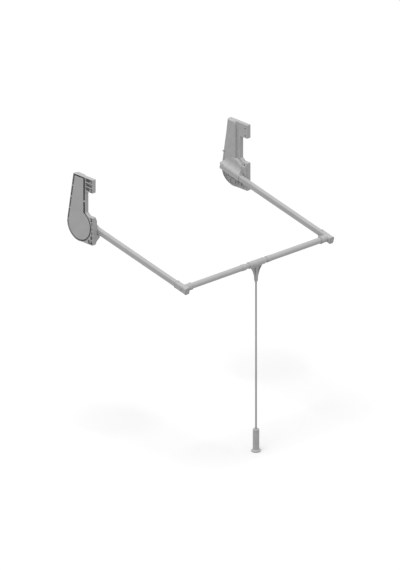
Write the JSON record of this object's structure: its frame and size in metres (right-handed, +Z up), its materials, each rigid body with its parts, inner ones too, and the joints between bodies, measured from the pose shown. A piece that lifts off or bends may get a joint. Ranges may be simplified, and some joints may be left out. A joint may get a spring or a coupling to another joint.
{
  "type": "pull down closet rod",
  "caption": "Wardrobe lift: arms on side-wall housings swing a telescopic hanging rail down to the front, drawn by a long pull rod with a grip.",
  "frame": {"origin": "on the left wall face, on the pivot axis of the arms", "axes": "+X from the left wall to the right wall, -Y to the front of the wardrobe, +Z up"},
  "size_m": [0.89, 0.6814, 1.1725],
  "materials": {
    "housing_moulding": "fine moulded grain",
    "fitting_moulding": "fine moulded grain",
    "grip_moulding": "satin moulded",
    "tube_paint": "satin powder coat",
    "plate_steel": "powder coated sheet",
    "cylinder_paint": "black paint",
    "gear_steel": "machined",
    "screw_steel": "zinc plated",
    "hard_chrome": "ground and chromed",
    "acetal": "machined acetal",
    "rubber": "moulded rubber"
  },
  "bodies": {
    "left_housing": {"left_housing_shell": "housing_moulding", "left_back_plate": "plate_steel", "left_front_bush": "acetal", "left_back_bush": "acetal", "left_plate_screws": "screw_steel", "left_gas_spring_cylinder": "cylinder_paint", "left_spring_anchor_pin": "screw_steel", "left_rack_guide": "acetal", "left_lowered_stop_buffer": "rubber", "left_raised_stop_buffer": "rubber"},
    "left_rack": {"left_rack": "gear_steel", "left_gas_spring_rod": "hard_chrome"},
    "left_arm": {"left_pivot_shaft": "gear_steel", "left_shaft_circlip": "screw_steel", "left_pinion": "gear_steel", "left_arm_tube": "tube_paint", "left_arm_rear_cap": "fitting_moulding", "left_arm_knuckle": "fitting_moulding", "left_shaft_block": "gear_steel", "left_knuckle_screws": "screw_steel", "left_elbow": "fitting_moulding", "left_elbow_cap": "fitting_moulding", "left_elbow_screws": "screw_steel", "left_bar_tube": "tube_paint", "left_bar_collar": "fitting_moulding"},
    "right_housing": {"right_housing_shell": "housing_moulding", "right_back_plate": "plate_steel", "right_front_bush": "acetal", "right_back_bush": "acetal", "right_plate_screws": "screw_steel", "right_gas_spring_cylinder": "cylinder_paint", "right_spring_anchor_pin": "screw_steel", "right_rack_guide": "acetal", "right_lowered_stop_buffer": "rubber", "right_raised_stop_buffer": "rubber"},
    "right_rack": {"right_rack": "gear_steel", "right_gas_spring_rod": "hard_chrome"},
    "right_arm": {"right_pivot_shaft": "gear_steel", "right_shaft_circlip": "screw_steel", "right_pinion": "gear_steel", "right_arm_tube": "tube_paint", "right_arm_rear_cap": "fitting_moulding", "right_arm_knuckle": "fitting_moulding", "right_shaft_block": "gear_steel", "right_knuckle_screws": "screw_steel", "right_elbow": "fitting_moulding", "right_elbow_cap": "fitting_moulding", "right_elbow_screws": "screw_steel", "right_bar_tube": "tube_paint", "right_bar_collar": "fitting_moulding"},
    "centre_tube": {"inner_tube": "tube_paint", "tube_glides": "acetal"},
    "pull_rod": {"tee_bracket": "fitting_moulding", "tee_set_screw": "screw_steel", "pull_rod": "tube_paint", "rod_pin": "screw_steel", "grip_sleeve": "grip_moulding", "grip_base": "grip_moulding", "grip_screw": "screw_steel"}
  },
  "joints": [
    {"name": "arm_swing", "type": "hinge", "parent": "left_housing", "child": "left_arm", "pos_m": [0, 0, 0], "axis": [-1, 0, 0], "range_deg": [0, 101.9]},
    {"name": "left_rack_slide", "type": "slide", "parent": "left_housing", "child": "left_rack", "axis": [0, 0, -1], "range_m": [0, 0.0356]},
    {"name": "width_adjust", "type": "slide", "parent": "left_housing", "child": "right_housing", "axis": [1, 0, 0], "range_m": [-0.022, 0.26]},
    {"name": "right_rack_slide", "type": "slide", "parent": "right_housing", "child": "right_rack", "axis": [0, 0, -1], "range_m": [0, 0.0356]},
    {"name": "left_rail_slide", "type": "slide", "parent": "left_arm", "child": "centre_tube", "axis": [1, 0, 0], "range_m": [-0.011, 0.13]},
    {"name": "right_rail_slide", "type": "slide", "parent": "centre_tube", "child": "right_arm", "axis": [1, 0, 0], "range_m": [-0.011, 0.13]},
    {"name": "pull_rod_swing", "type": "hinge", "parent": "centre_tube", "child": "pull_rod", "pos_m": [0.4484, -0.58123, -0.12248], "axis": [1, 0, 0], "range_deg": [-45, 110]}
  ],
  "couplings": [
    {"joint": "left_rack_slide", "follows": "arm_swing", "m_per_rad": 0.02},
    {"joint": "right_rack_slide", "follows": "arm_swing", "m_per_rad": 0.02},
    {"joint": "left_rail_slide", "follows": "width_adjust", "ratio": 0.5},
    {"joint": "right_rail_slide", "follows": "width_adjust", "ratio": 0.5}
  ]
}
